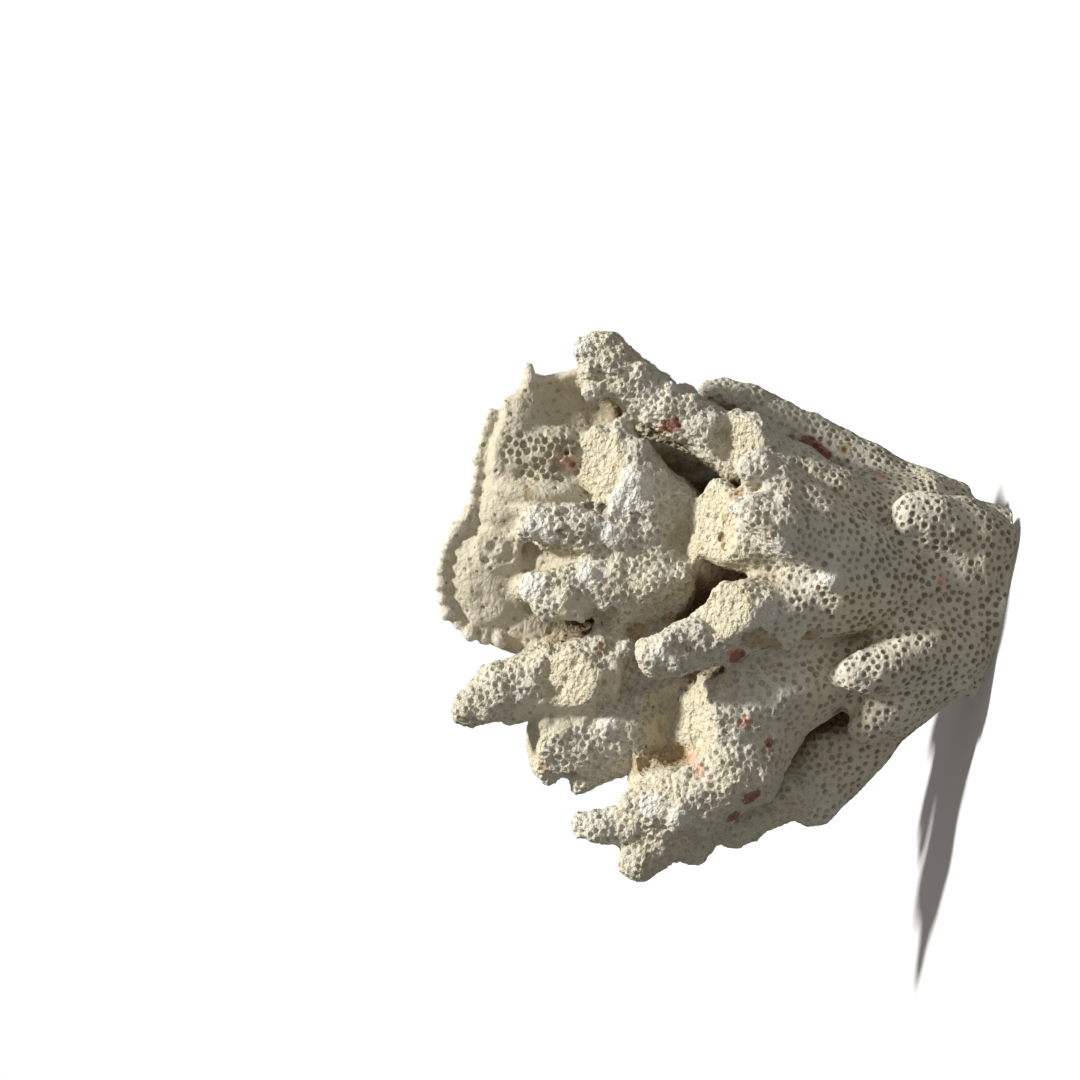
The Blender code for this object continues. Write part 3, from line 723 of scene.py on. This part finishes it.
def snap_off(obj):
    """Breaks off what stands in front of each broken face."""
    places = read_places(spots_of(obj.data).astype(float))
    for centre, way, radius in BREAKS:
        way, _, above, beside = about_break(places, centre, way)
        gone = (above > 0) & (above < SNAPPED) & (beside < radius)
        places -= (gone * above)[:, None] * way
    move_to(obj.data, places)


def move_to(mesh, places):
    """Puts the mesh's vertices at these reaches, rises and fores."""
    put_spots(mesh, np.stack(laid(*places.T), axis=1) * MM)


def cut_at_foot(obj):
    """Cuts the skin off level at the foot and closes it there."""
    bm = bmesh.new()
    bm.from_mesh(obj.data)
    every = bm.verts[:] + bm.edges[:] + bm.faces[:]
    bmesh.ops.bisect_plane(bm, geom=every, plane_co=(0, 0, 0), plane_no=(0, 0, 1), clear_inner=True)
    rim = [edge for edge in bm.edges if edge.is_boundary]
    bmesh.ops.holes_fill(bm, edges=rim, sides=0)
    bmesh.ops.triangulate(bm, faces=bm.faces)
    bm.to_mesh(obj.data)
    bm.free()


def roughness_of(spots):
    """How knobbly the surface is at each point: calm at the foot, rough at the finger tips."""
    places = read_places(spots.astype(float))
    return step(*KNOBBLY, places[:, 0] + 0.25 * np.abs(places[:, 1]))


def knobbly(mesh):
    """How knobbly the mesh is at each vertex, calm on the crust and on the broken faces."""
    spots = spots_of(mesh)
    crust = sorted(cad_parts).index("crust")
    bare = branch_numbers(spots.tolist()) != crust
    return roughness_of(spots) * bare * (1 - broken_faces(spots, normals_of(mesh)))


def outer_skin_only(obj):
    """Drops the sealed bubbles inside the skin."""
    bm = bmesh.new()
    bm.from_mesh(obj.data)
    bm.faces.ensure_lookup_table()
    top = max(bm.verts, key=lambda vert: vert.co.z)
    reached = {top}
    front = [top]
    while front:
        vert = front.pop()
        for edge in vert.link_edges:
            other = edge.other_vert(vert)
            if other not in reached:
                reached.add(other)
                front.append(other)
    stray = [vert for vert in bm.verts if vert not in reached]
    bmesh.ops.delete(bm, geom=stray, context="VERTS")
    bm.to_mesh(obj.data)
    bm.free()


def shelter_of(obj, spots):
    """How hemmed in each point is by the rest of the coral, from 0 in the open to 1 in a deep gap."""
    rough = linked("sheltering", obj.data.copy())
    thin = rough.modifiers.new("Thin", "DECIMATE")
    thin.ratio = SHELTER_FACES
    settle(rough)
    bm = bmesh.new()
    bm.from_mesh(rough.data)
    tree = BVHTree.FromBMesh(bm)
    rays = []
    for i in range(SHELTER_RAYS):
        height = math.sqrt((i + 0.5) / SHELTER_RAYS)
        turn = i * math.pi * (3 - math.sqrt(5))
        side = math.sqrt(1 - height * height)
        rays.append(Vector((side * math.cos(turn), side * math.sin(turn), height)))
    known = kdtree.KDTree(len(bm.verts))
    hidden = np.zeros(len(bm.verts))
    for i, vert in enumerate(bm.verts):
        known.insert(vert.co, i)
        turned = vert.normal.to_track_quat("Z", "Y").to_matrix()
        start = vert.co + vert.normal * SHELTER_START * MM
        for ray in rays:
            hit = tree.ray_cast(start, turned @ ray, SHELTER_LENGTH * MM)
            if hit[0] is not None:
                hidden[i] += 1 / SHELTER_RAYS
    known.balance()
    bm.free()
    bpy.data.objects.remove(rough)
    return np.array([hidden[known.find(spot)[1]] for spot in spots])


def branch_numbers(spots):
    """The number of the frame's branch that each point lies nearest."""
    corners, faces, owner = [], [], []
    for number, name in enumerate(sorted(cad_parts)):
        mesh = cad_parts[name].data
        start = len(corners)
        corners += [vert.co.copy() for vert in mesh.vertices]
        faces += [[start + v for v in face.vertices] for face in mesh.polygons]
        owner += [number] * len(mesh.polygons)
    tree = BVHTree.FromPolygons(corners, faces)
    return np.array([owner[tree.find_nearest(spot)[2]] for spot in spots])


def face_table(mesh):
    """The mesh's faces as rows of four vertex numbers. The skin is all four-sided."""
    return rows_of(mesh.loops, "vertex_index", np.int32, 1).reshape(-1, 4)


def evened(owners, faces, verts, kinds, rounds):
    """Face owners after each face has taken the commonest owner round it, a number of rounds."""
    for _ in range(rounds):
        score = np.zeros((len(faces), kinds), np.float32)
        for kind in range(kinds):
            mine = (owners == kind).astype(np.float32)
            if mine.any():
                shared = np.bincount(faces.ravel(), np.repeat(mine, 4), verts)
                score[:, kind] = shared[faces].sum(axis=1)
        owners = score.argmax(axis=1)
    return owners


def no_islands(owners, faces, edges_of_faces):
    """Gives each patch that is cut off from the main patch of its owner to the owner round it."""
    for _ in range(4):
        patch = np.arange(len(faces))
        first, second = edges_of_faces
        same = owners[first] == owners[second]
        a, b = first[same], second[same]
        while True:
            low = np.minimum(patch[a], patch[b])
            before = patch.copy()
            np.minimum.at(patch, a, low)
            np.minimum.at(patch, b, low)
            patch = patch[patch]
            if (patch == before).all():
                break
        sizes = np.bincount(patch, minlength=len(faces))
        largest = {}
        for root in np.flatnonzero(sizes):
            kind = owners[root]
            if sizes[root] > sizes[largest.get(kind, root)] or kind not in largest:
                largest[kind] = root
        stray = patch != np.array([largest[kind] for kind in owners])
        if not stray.any():
            break
        across = ~same
        for here, there in ((first[across], second[across]), (second[across], first[across])):
            give = stray[here] & ~stray[there]
            owners[here[give]] = owners[there[give]]
    return owners


def sides_of(faces):
    """The sides of the four-sided faces, two vertex numbers each: all the first sides, then the second."""
    return np.concatenate([np.stack([faces[:, k], faces[:, (k + 1) % 4]], 1) for k in range(4)])


def neighbours(faces):
    """The pairs of faces that share an edge."""
    sides = np.sort(sides_of(faces), axis=1)
    owner = np.tile(np.arange(len(faces)), 4)
    order = np.lexsort((sides[:, 1], sides[:, 0]))
    sides, owner = sides[order], owner[order]
    match = (sides[1:] == sides[:-1]).all(axis=1)
    return owner[:-1][match], owner[1:][match]


def broken_faces(spots, normals):
    """How far each point is part of a broken end."""
    places = read_places(spots.astype(float))
    ways = read_places(normals.astype(float) * MM) - read_places(np.zeros((1, 3)))
    broken = np.zeros(len(spots))
    for centre, way, radius in BREAKS:
        way, apart, above, beside = about_break(places, centre, way)
        turn = np.arctan2(apart[:, 1], apart[:, 0] * way[2] - apart[:, 2] * way[0])
        waves = 1 + 0.07 * np.sin(3 * turn + centre[0]) + 0.05 * np.sin(7 * turn) + 0.04 * np.sin(13 * turn)
        ragged = radius * waves
        mask = step(ragged + 0.4, ragged - 0.4, beside) * step(1.5, 0.9, np.abs(above))
        broken = np.maximum(broken, mask * step(0.3, 0.6, ways @ way))
    return broken


def seen_marks(obj, marks):
    """The marks given by reach, rise and radius, put on the surface in view with their fore."""
    tree = surface_tree(obj.data)
    found = []
    for reach, rise, radius in marks:
        seat = in_view(tree, reach, rise)
        if seat:
            found.append((*read_places(np.array([seat[0]]))[0], radius))
    return found


def stained(spots, marks):
    """How far each point lies in one of the round marks."""
    places = read_places(spots)
    mask = np.zeros(len(spots))
    for reach, rise, fore, radius in marks:
        apart = np.linalg.norm(places - np.array((reach, rise, fore)), axis=1)
        mask = np.maximum(mask, step(radius * 1.25, radius * 0.7, apart))
    return mask


def part_at_forks(obj, owners, faces):
    """One piece for each branch of the frame, with webs inside the coral where the branches meet."""
    mesh = obj.data
    spots = spots_of(mesh)
    facing = normals_of(mesh)
    tree = surface_tree(mesh)
    kept = {name: np.empty(len(mesh.vertices), np.float32) for name in KEPT_VALUES}
    for name, values in kept.items():
        mesh.attributes[name].data.foreach_get("value", values)
    pieces = []
    for number, name in enumerate(sorted(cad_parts)):
        mine = faces[owners == number]
        used, rows = np.unique(mine.ravel(), return_inverse=True)
        rows = rows.reshape(-1, 4)
        known = set(map(tuple, sides_of(rows).tolist()))
        rim = [(a, b) for a, b in known if (b, a) not in known]
        corners = spots[used]
        hidden, webs, sources = closing_webs(rim, corners, facing[used], len(used), tree)
        part = bpy.data.meshes.new(name + "_skin")
        part.from_pydata(corners.tolist() + hidden, [], rows.tolist() + webs)
        for title, values in kept.items():
            own = values[used]
            store(part, title, np.concatenate([own, [own[source].mean() for source in sources]]))
        part.shade_smooth()
        part.normals_split_custom_set_from_vertices(facing[used].tolist() + [(0, 0, 1)] * len(hidden))
        pieces.append((name, linked(name + "_skin", part)))
    return pieces


def closing_webs(rim, corners, facing, count, tree):
    """Webs over the open loops of a patch: a skirt down into the coral, then a fan to a hub there.

    A web that would leave the coral is left out, so that a loop can stay partly open.
    """
    nearby = {}
    for a, b in rim:
        nearby.setdefault(a, []).append(b)
        nearby.setdefault(b, []).append(a)
    loops, seen = [], set()
    for start in nearby:
        if start in seen:
            continue
        loop, front = set(), [start]
        while front:
            vert = front.pop()
            if vert in loop:
                continue
            loop.add(vert)
            front += nearby[vert]
        seen |= loop
        loops.append(loop)
    extra, webs, sources = [], [], []
    for loop in loops:
        members = sorted(loop)
        sides = [(a, b) for a, b in rim if a in loop]
        low = {v: corners[v] - facing[v] * SKIRT * MM for v in members}
        middle, inward = corners[members].mean(axis=0), -facing[members].mean(axis=0)
        hopes = [middle + inward * depth * MM for depth in (0, 2, 4, 8)]
        hopes += [corners[v] - facing[v] * 3 * MM for v in members[::max(1, len(members) // 10)]]
        few = [(low[a] + low[b]) / 2 for a, b in sides[::max(1, len(sides) // 24)]]
        hub = max(hopes, key=lambda hope: sum(web_inside(tree, under, hope) for under in few))
        down = {v: count + len(extra) + i for i, v in enumerate(members)}
        centre = count + len(extra) + len(members)
        extra += [low[v].tolist() for v in members] + [hub.tolist()]
        sources += [[v] for v in members] + [members]
        for a, b in sides:
            under = (low[a] + low[b]) / 2
            if web_inside(tree, under, under):
                webs.append((b, a, down[a], down[b]))
                if web_inside(tree, under, hub):
                    webs.append((down[b], down[a], centre))
    used = sorted({v for web in webs for v in web if v >= count})
    fresh = {v: count + i for i, v in enumerate(used)}
    webs = [tuple(fresh.get(v, v) for v in web) for web in webs]
    return [extra[v - count] for v in used], webs, [sources[v - count] for v in used]


def web_inside(tree, start, hub):
    """Whether the points tried between here and the hub all lie inside the coral."""
    for share in (0, 0.05, 0.12, 0.25, 0.4, 0.6, 0.8, 1.0):
        spot = Vector(start * (1 - share) + hub * share)
        near, normal, *_ = tree.find_nearest(spot)
        if (spot - near).dot(normal) >= 0:
            return False
    return True


def grow_skin():
    """The coral's whole skin, without its cups."""
    bm = branch_skins()
    for fills in FILLS.values():
        for *spot, radius in fills:
            lump(bm, place(*spot), radius)
    skin = linked_bmesh("skin", bm)
    remesh(skin, DRAFT, FILLET_ROUNDS)
    bridge(skin)
    store(skin.data, "rough", roughness_of(spots_of(skin.data)))
    swell(skin, "limbs")
    snap_off(skin)
    store(skin.data, "rough", knobbly(skin.data))
    grown_by(skin, knob_tree())
    add_details(skin)
    remesh(skin, DRAFT * 0.75, 1)
    dent(skin)
    cut_at_foot(skin)
    store(skin.data, "rough", knobbly(skin.data))
    swell(skin, "lumps")
    swell(skin, "crumbs")
    remesh(skin, FINE, 1)
    outer_skin_only(skin)
    return skin


def calmed(spots, edges):
    """The points averaged with those round them."""
    return np.stack([blurred(spots[:, k].astype(float), edges, CALM_ROUNDS) for k in range(3)], axis=1)


def cavity_of(mesh, edges):
    """How deep each point lies in a hollow of the surface, in millimetres, below 0 on a crest."""
    spots = spots_of(mesh)
    return ((calmed(spots, edges) - spots) * normals_of(mesh)).sum(axis=1) / MM


def fill_creases(spots, edges, cavity):
    """The points, those in sharp creases drawn out towards the calmed surface."""
    share = blurred(step(0.25, 0.5, cavity), edges, 2)
    return spots + share[:, None] * (calmed(spots, edges) - spots)


def finish_skin(skin):
    """Adds the masks, among them those for painted shade and painted highlights, the stains, cups and
    finest relief. Returns each face's branch number and the faces.
    """
    mesh = skin.data
    edges, faces = edges_of(mesh), face_table(mesh)
    put_spots(mesh, fill_creases(spots_of(mesh), edges, cavity_of(mesh, edges)))
    mesh.update()
    spots, normals = spots_of(mesh), normals_of(mesh)
    owners = branch_numbers(spots[faces].mean(axis=1).tolist())
    kinds = len(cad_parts)
    owners = evened(owners, faces, len(spots), kinds, 6)
    owners = no_islands(owners, faces, neighbours(faces))
    crust = (owners == sorted(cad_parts).index("crust")).astype(np.float32)
    waxy = np.bincount(faces.ravel(), np.repeat(crust, 4), len(spots))
    waxy /= np.maximum(np.bincount(faces.ravel(), minlength=len(spots)), 1)
    waxy = blurred(waxy, edges, 12)
    grainy = 0.7 * waxy
    shelter = blurred(shelter_of(skin, spots.tolist()), edges, 12)
    level = step(0.3 * MM, 0.1 * MM, spots[:, 2])
    broken = np.maximum(blurred(broken_faces(spots, normals), edges, 1), level)
    cavity = cavity_of(mesh, edges)
    worn_and_highlit = stained(spots, seen_marks(skin, WORN_AND_HIGHLIT))
    waxy = np.maximum(waxy, stained(spots, seen_marks(skin, WAXY_WEBS)))
    honeycomb = stained(spots, seen_marks(skin, HONEYCOMB)) * (1 - broken)
    porous = (1 - broken) * (1 - step(0.25, 0.75, waxy)) * (1 - step(0.2, 0.6, honeycomb))
    store(mesh, "rough", roughness_of(spots))
    store(mesh, "porous", porous * (1 - 0.75 * worn_and_highlit))
    store(mesh, "honeycomb", honeycomb)
    store(mesh, "pinholes", np.maximum(step(0.4, 0.8, waxy) * (1 - honeycomb), broken) * (1 - level))
    for title, values in (
        ("shelter", shelter), ("broken", broken), ("waxy", waxy * (1 - honeycomb)),
        ("worn_and_highlit", worn_and_highlit), ("cavity", cavity),
        ("pink", stained(spots, seen_marks(skin, RED_STAINS) + OTHER_STAINS)),
        ("rosy", stained(spots, seen_marks(skin, ROSY_STAINS))),
        ("tan", stained(spots, seen_marks(skin, TAN_STAINS_AND_HOLLOW_SHADE))),
    ):
        store(mesh, title, values)
    store(mesh, "cup", np.full(len(spots), 3.0))
    store(mesh, "rough", np.maximum(np.maximum(broken, worn_and_highlit), grainy) * (1 - level))
    swell(skin, "grit")
    store(skin.data, "rough", roughness_of(spots) * (1 - 0.8 * np.maximum(waxy, broken)))
    cups = cup_tree()
    for kind in CUPS:
        grown_by(skin, cups, **kind)
    swell(skin, "wear")
    return owners, faces


def read(tree, name):
    """The values that the surface keeps under a name, in a material."""
    return node(tree, "ShaderNodeAttribute", attribute_name=name).outputs["Fac"]


def blend_colours(tree, share, first, second):
    """The first colour, with a share of the second."""
    made = node(tree, "ShaderNodeMix", {0: share}, data_type="RGBA")
    for key, colour in ((6, first), (7, second)):
        if isinstance(colour, bpy.types.NodeSocket):
            tree.links.new(colour, made.inputs[key])
        else:
            made.inputs[key].default_value = (*colour[:3], 1)
    return made.outputs[2]


def noise_at(tree, scale_mm, detail=2.0, seed=0.0):
    """Noise with features of about the given size, from 0 to 1."""
    spot = tree.nodes.new("ShaderNodeTexCoord").outputs["Object"]
    feed = {"Vector": spot, "Scale": 1 / (scale_mm * MM), "Detail": detail, "W": seed}
    return node(tree, "ShaderNodeTexNoise", feed, noise_dimensions="4D").outputs[0]


def skeleton_group():
    """What every part of the coral's surface shares: its colour, with painted shade in its hollows, gaps
    and cups and painted highlights on its crests, its roughness and its grain.
    """
    tree, start, end = new_tree(
        "coral surface",
        "ShaderNodeTree",
        [("Ground", "Color", (*BLEACHED, 1)), ("Greyed", "Color", (*GREYED, 1)),
         ("Grain", "Float", 1.0)],
        [("Color", "Color"), ("Roughness", "Float"), ("Height", "Float")],
    )
    apart, shelter, broken, waxy, pink, cavity, worn_and_highlit, rough, rosy, tan = (
        read(tree, name) for name in KEPT_VALUES)
    ground, greyed = start.outputs["Ground"], start.outputs["Greyed"]
    ragged_edge = sum_of(tree, "MULTIPLY_ADD", noise_at(tree, 0.5, 2.0, 4.0), 0.5, -0.25)
    away = sum_of(tree, "ADD", sum_of(tree, "MULTIPLY_ADD", rough, 0.35, apart), ragged_edge)
    pit = slope(tree, away, 0.75, 1.3, 1.0, 0.0)
    patchy = slope(tree, noise_at(tree, 9, 3.0, 1.0), 0.38, 0.66)
    mottled = slope(tree, noise_at(tree, 0.9, 3.0, 5.0), 0.3, 0.75)
    yellowed = slope(tree, noise_at(tree, 14, 3.0, 6.0), 0.45, 0.62)
    # How sheltered each point is, with some noise; it darkens sheltered places as painted shade below
    hemmed = sum_of(tree, "MULTIPLY_ADD", noise_at(tree, 5, 2.0, 3.0), 0.2, shelter)
    colour = blend_colours(tree, times(tree, patchy, 0.35), ground, greyed)
    for share, tint in (
        (times(tree, yellowed, 0.4), YELLOWED),
        (times(tree, mottled, 0.22), greyed),
        (times(tree, waxy, 0.75), CRUST_CREAM),
        # Worn patches whitened: wear, and partly a painted highlight
        (times(tree, worn_and_highlit, slope(tree, mottled, 0.0, 1.0, 0.6, 1.0)), WORN_WHITE_AND_HIGHLIGHT),
        (times(tree, broken, 0.85), blend_colours(tree, mottled, BROKEN_CREAM, YELLOWED)),
        # Crests whitened as a painted highlight
        (slope(tree, cavity, -0.15, -0.6, 0.0, 0.75), WORN_WHITE_AND_HIGHLIGHT),
        # Sheltered gaps darkened as painted shade: a warm olive, then a deep brown that also stands for
        # brown staining
        (slope(tree, hemmed, 0.4, 0.8, 0.0, 0.45), OLIVE_PAINTED_SHADE),
        (slope(tree, hemmed, 0.7, 1.0, 0.0, 0.9), HOLLOW_SHADE_AND_STAIN),
        # Hollows darkened as painted shade
        (slope(tree, cavity, 0.25, 0.9, 0.0, 0.35), CUP_SHADE),
        # The insides of the cups darkened: painted shade, with some dirt
        (times(tree, pit, sum_of(tree, "MULTIPLY_ADD", rough, -0.5, 0.95)), CUP_SHADE),
    ):
        colour = blend_colours(tree, share, colour, tint)
    speckled = noise_at(tree, 0.55, 4.0, 7.0)
    # Stains: tan, which in the hollows also paints their shade, rosy, and red coralline
    for stain, tint, share in ((tan, TAN, 0.62), (rosy, ROSY, 0.75), (pink, CORALLINE, 0.8)):
        ragged = sum_of(tree, "SUBTRACT", times(tree, stain, 1.05), speckled)
        colour = blend_colours(tree, slope(tree, ragged, 0.0, 0.55, 0.0, share), colour, tint)
    tree.links.new(colour, end.inputs["Color"])
    tree.links.new(slope(tree, waxy, 0.0, 1.0, 0.92, 0.6), end.inputs["Roughness"])
    coarse = times(tree, slope(tree, noise_at(tree, 0.9, 4.0, 8.0), 0.25, 0.75), 4.0)
    weathered = sum_of(tree, "MULTIPLY_ADD", rough, 0.6, 0.2)
    coarse = times(tree, coarse, sum_of(tree, "MAXIMUM", sum_of(tree, "MAXIMUM", broken, worn_and_highlit), weathered))
    grain = sum_of(tree, "MULTIPLY_ADD", noise_at(tree, 0.35, 3.0, 2.0), start.outputs["Grain"], coarse)
    tree.links.new(sum_of(tree, "MULTIPLY_ADD", pit, -1.8, grain), end.inputs["Height"])
    return tree


def coral_material(name, ground, greyed, grain):
    """Dry, matt coral skeleton."""
    made = bpy.data.materials.new(name)
    made.use_nodes = True
    tree = made.node_tree
    shader = tree.nodes["Principled BSDF"]
    surface = node(tree, "ShaderNodeGroup", node_tree=bpy.data.node_groups["coral surface"])
    surface.inputs["Ground"].default_value = (*ground, 1)
    surface.inputs["Greyed"].default_value = (*greyed, 1)
    surface.inputs["Grain"].default_value = grain
    relief = node(tree, "ShaderNodeBump", {"Height": surface.outputs["Height"], "Strength": 1.0,
                                           "Distance": 0.15 * MM})
    tree.links.new(surface.outputs["Color"], shader.inputs["Base Color"])
    tree.links.new(surface.outputs["Roughness"], shader.inputs["Roughness"])
    tree.links.new(relief.outputs[0], shader.inputs["Normal"])
    shader.inputs["Specular IOR Level"].default_value = 0.25
    return made


def dress():
    """Grows the skin, parts it at the forks and puts each piece in place of its branch."""
    skin = grow_skin()
    owners, faces = finish_skin(skin)
    skeleton_group()
    white = coral_material("coral_white", BLEACHED, GREYED, 1.0)
    cream = coral_material("crust_cream", CRUST_CREAM, GREYED, 0.6)
    for name, piece in part_at_forks(skin, owners, faces):
        piece.data.materials.append(cream if name == "crust" else white)
        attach(piece, "root")
        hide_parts(name)
    bpy.data.objects.remove(skin)


def pale_floor():
    """A plain round floor, level with the cut."""
    mesh = bpy.data.meshes.new("floor")
    bm = bmesh.new()
    bmesh.ops.create_circle(bm, cap_ends=True, segments=96, radius=1.6)
    bm.to_mesh(mesh)
    bm.free()
    floor = linked("floor", mesh)
    made = bpy.data.materials.new("floor_pale")
    made.use_nodes = True
    shader = made.node_tree.nodes["Principled BSDF"]
    tint = noise_at(made.node_tree, 60, 2.0, 0.0)
    colour = blend_colours(made.node_tree, times(made.node_tree, tint, 0.1), FLOOR_PALE,
                           (0.82, 0.84, 0.9))
    made.node_tree.links.new(colour, shader.inputs["Base Color"])
    shader.inputs["Roughness"].default_value = 0.9
    mesh.materials.append(made)
    floor.visible_diffuse = False


def from_the_view(left, up, near):
    """A direction of the frame, from how far it points left, up and nearer in the camera's picture."""
    cos, sin = math.cos(LEAN), math.sin(LEAN)
    return Vector((cos * up - sin * left, -near, sin * up + cos * left))


def lights():
    """A low key light from the left of the picture, a weak fill from the camera, and an even sky."""
    for name, way, power, angle, colour in (
        ("key", from_the_view(0.88, 0.36, 0.24), 4.4, 7, (1.0, 0.97, 0.89)),
        ("fill", from_the_view(0.1, 0.3, 1.0), 0.25, 60, (1.0, 0.98, 0.94)),
    ):
        lamp = bpy.data.lights.new(name, "SUN")
        lamp.energy = power
        lamp.angle = math.radians(angle)
        lamp.color = colour
        obj = linked(name, lamp)
        obj.rotation_euler = way.to_track_quat("Z", "Y").to_euler()
    world = bpy.data.worlds.new("pale")
    world.use_nodes = True
    tree = world.node_tree
    sky = tree.nodes["Background"]
    sky.inputs["Color"].default_value = (1.0, 0.95, 0.84, 1)
    sky.inputs["Strength"].default_value = 0.2
    seen = node(tree, "ShaderNodeBackground", {"Color": (1, 1, 1, 1), "Strength": 1.0})
    ray = tree.nodes.new("ShaderNodeLightPath").outputs["Is Camera Ray"]
    either = node(tree, "ShaderNodeMixShader", {0: ray, 1: sky.outputs[0], 2: seen.outputs[0]})
    tree.links.new(either.outputs[0], tree.nodes["World Output"].inputs["Surface"])
    bpy.context.scene.world = world


def camera():
    """Looks at the front fork's side, rolled so that the foot is at the right of the picture."""
    data = bpy.data.cameras.new("camera")
    data.sensor_width = 36
    data.lens = data.sensor_width * EYE_DISTANCE / PICTURE_WIDTH
    obj = linked("camera", data)
    right = from_the_view(-1, 0, 0)
    up = from_the_view(0, 1, 0)
    back = Vector((0, -1, 0))
    eye = place(*AIM, EYE_DISTANCE)
    obj.matrix_world = Matrix.Translation(eye) @ Matrix((right, up, back)).transposed().to_4x4()
    bpy.context.scene.camera = obj


dress()
pale_floor()
lights()
camera()
bpy.context.scene.view_settings.view_transform = "Standard"
